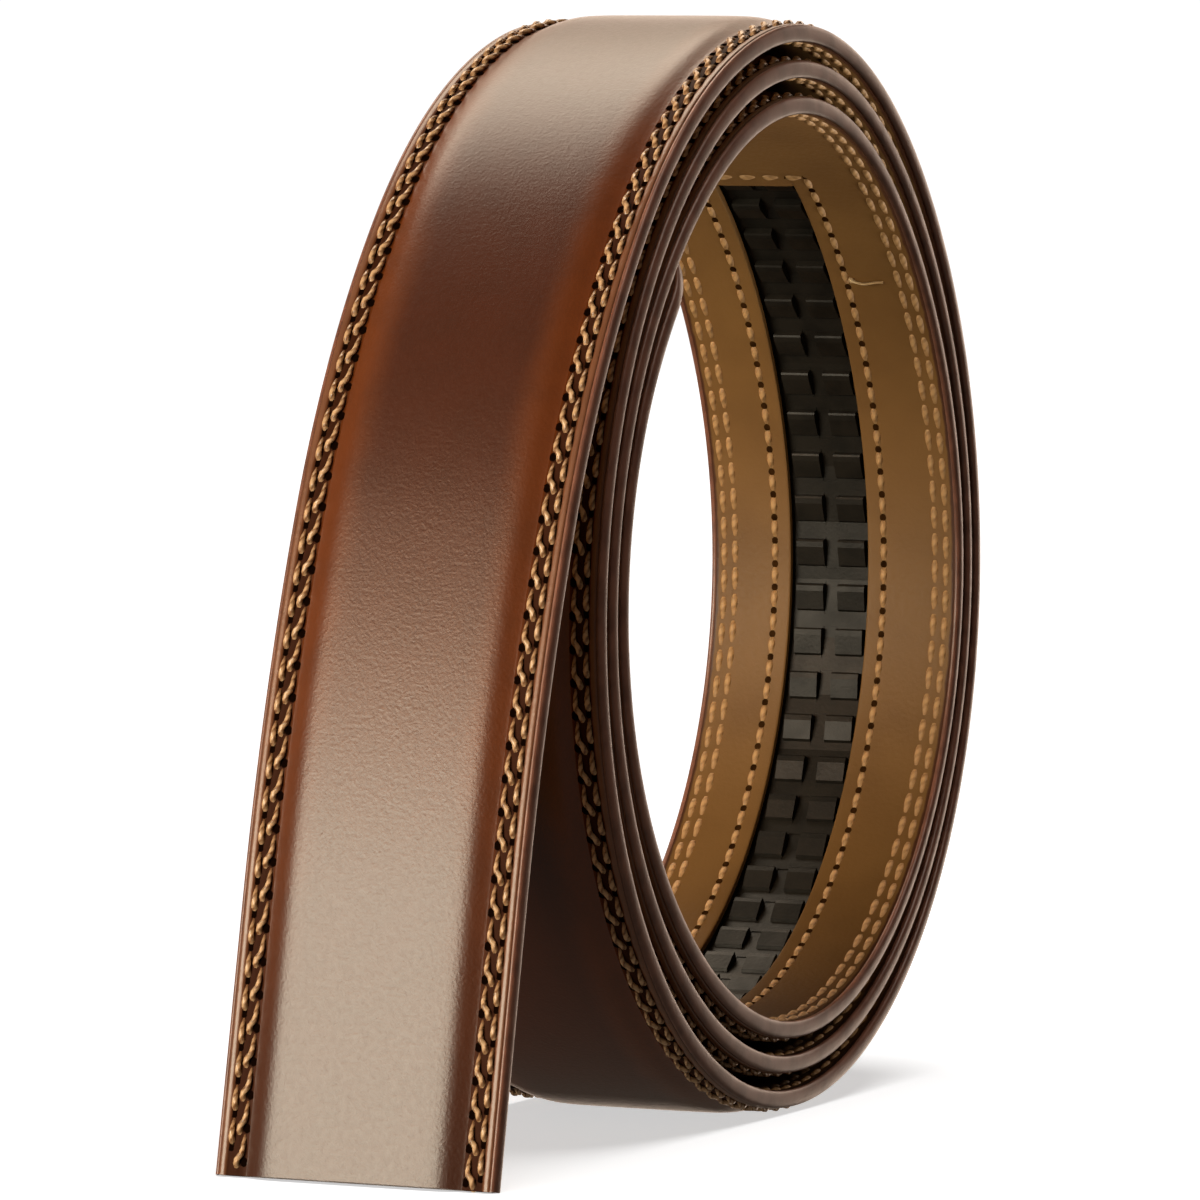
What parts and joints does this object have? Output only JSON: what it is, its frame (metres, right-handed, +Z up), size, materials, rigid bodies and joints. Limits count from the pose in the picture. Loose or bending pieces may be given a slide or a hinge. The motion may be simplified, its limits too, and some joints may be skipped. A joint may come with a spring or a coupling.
{
  "type": "ratchet belt strap",
  "caption": "Padded leather strap of a ratchet belt, wound into an upright coil with its cut end hanging down, with a toothed track along its lining for a sliding buckle.",
  "frame": {"origin": "middle of the bounding box, on the surface that the coil and the cut end stand on", "axes": "+X along the length of the coil, away from the hanging tail; +Y across the strap, away from the side that the picture shows; +Z up"},
  "size_m": [0.1656, 0.035, 0.1362],
  "materials": {
    "outer_leather": "satin chocolate brown",
    "lining_leather": "plain tan",
    "track_plastic": "semi-matte black"
  },
  "bodies": {
    "root": {"outer_strap": "outer_leather", "lining": "lining_leather", "ratchet_track": "track_plastic"}
  },
  "joints": []
}
